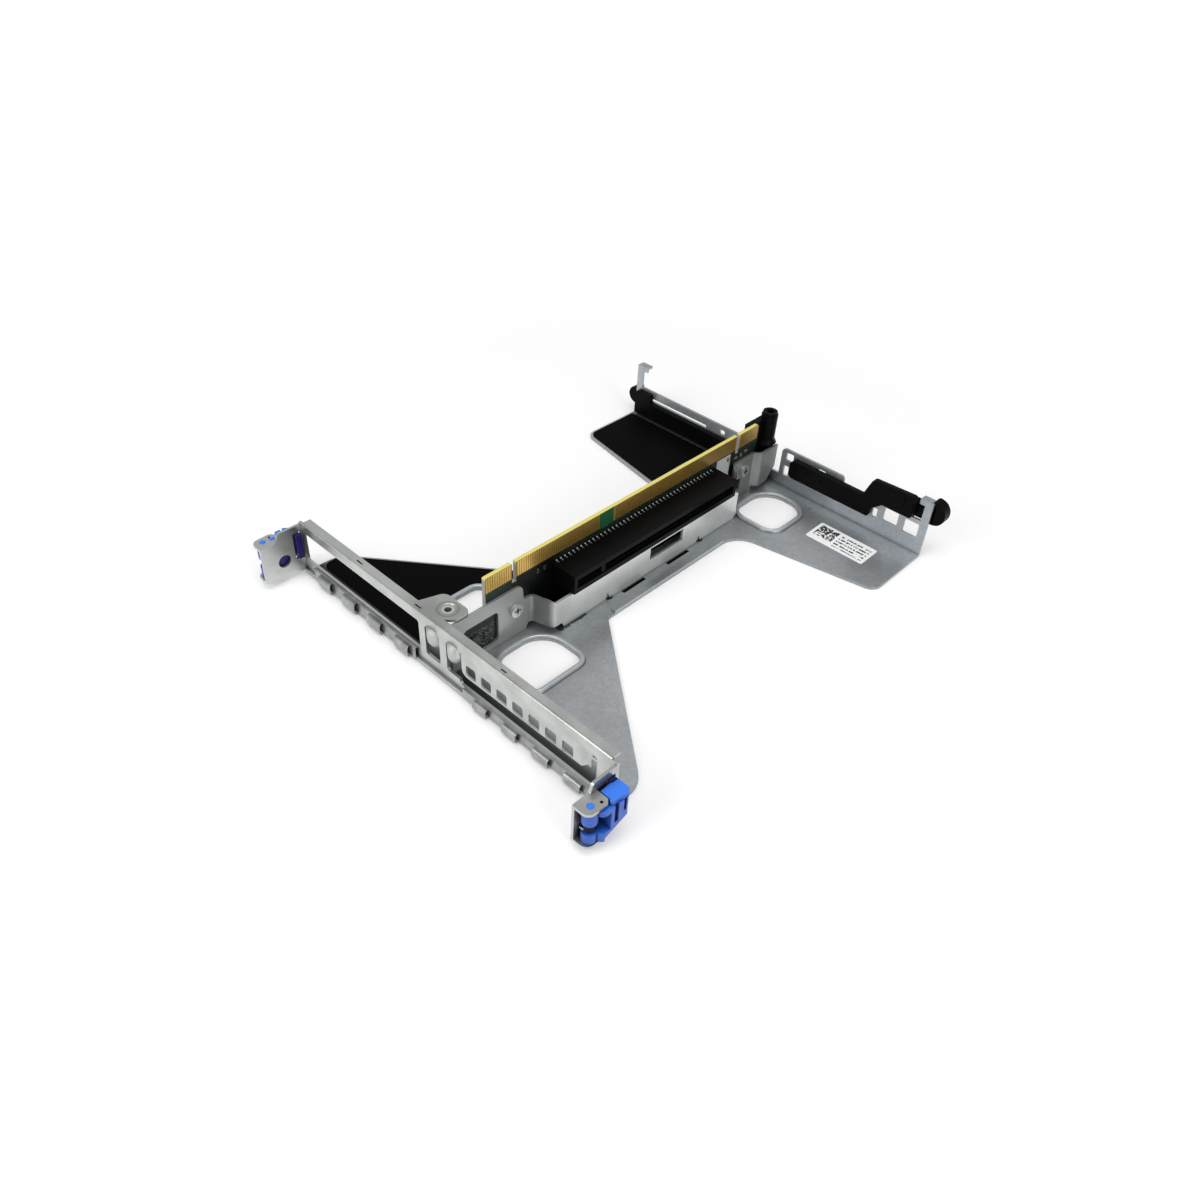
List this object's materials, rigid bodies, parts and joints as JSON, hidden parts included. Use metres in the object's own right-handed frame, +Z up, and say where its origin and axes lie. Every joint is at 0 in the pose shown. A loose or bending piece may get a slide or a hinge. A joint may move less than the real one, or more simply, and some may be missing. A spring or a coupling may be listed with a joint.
{
  "type": "server riser",
  "caption": "Sheet-metal server riser: upright circuit board with a gold card edge on top, two card connectors, slot bracket with blue latches and rear card holders.",
  "frame": {"origin": "middle of the bounding box, on the underside of the base plate", "axes": "+X across the slots to the picture's right, +Y from the slot bracket to the rear wall, +Z up from the base"},
  "size_m": [0.169, 0.199, 0.034],
  "materials": {
    "galvanised_sheet": "galvanised steel sheet, fine spangle",
    "nickel_sheet": "bright zinc-nickel plated sheet",
    "green_board": "dark green solder mask over glass laminate",
    "gold": "thin gold plating",
    "black_plastic": "moulded black plastic, fine grain",
    "tin": "tinned tails",
    "screw_steel": "zinc-plated screw steel",
    "blue_plastic": "moulded mid blue plastic",
    "black_film": "black insulating film",
    "spring_steel": "bright spring steel",
    "component_body": "small ceramic and moulded component bodies",
    "label_paper": "white label stock"
  },
  "bodies": {
    "frame": {"base_plate": "galvanised_sheet", "io_bracket": "nickel_sheet", "board_carrier": "nickel_sheet", "riser_board": "green_board", "edge_fingers": "gold", "right_connector": "black_plastic", "left_connector": "black_plastic", "right_connector_pins": "tin", "left_connector_pins": "tin", "board_components": "component_body", "board_screws": "screw_steel", "board_nuts": "screw_steel", "guide_post": "black_plastic", "right_card_holder": "black_plastic", "left_card_holder": "black_plastic", "right_latch_spring": "spring_steel", "left_latch_spring": "spring_steel", "wing_film": "black_film", "arm_film": "black_film", "slot_cover": "nickel_sheet", "right_contact_strip": "spring_steel", "left_contact_strip": "spring_steel", "asset_label": "label_paper"},
    "right_latch": {"right_card_latch": "blue_plastic"},
    "left_latch": {"left_card_latch": "blue_plastic"}
  },
  "joints": [
    {"name": "right_latch_hinge", "type": "hinge", "parent": "frame", "child": "right_latch", "pos_m": [0.0802, -0.0962, 0.01055], "axis": [0, 0, -1], "range_deg": [0, 80], "stiffness_Nm_per_rad": 0.003, "springref_deg": -34.38},
    {"name": "left_latch_hinge", "type": "hinge", "parent": "frame", "child": "left_latch", "pos_m": [-0.0802, -0.0962, 0.01055], "axis": [0, 0, 1], "range_deg": [0, 80], "stiffness_Nm_per_rad": 0.003, "springref_deg": -34.38}
  ]
}
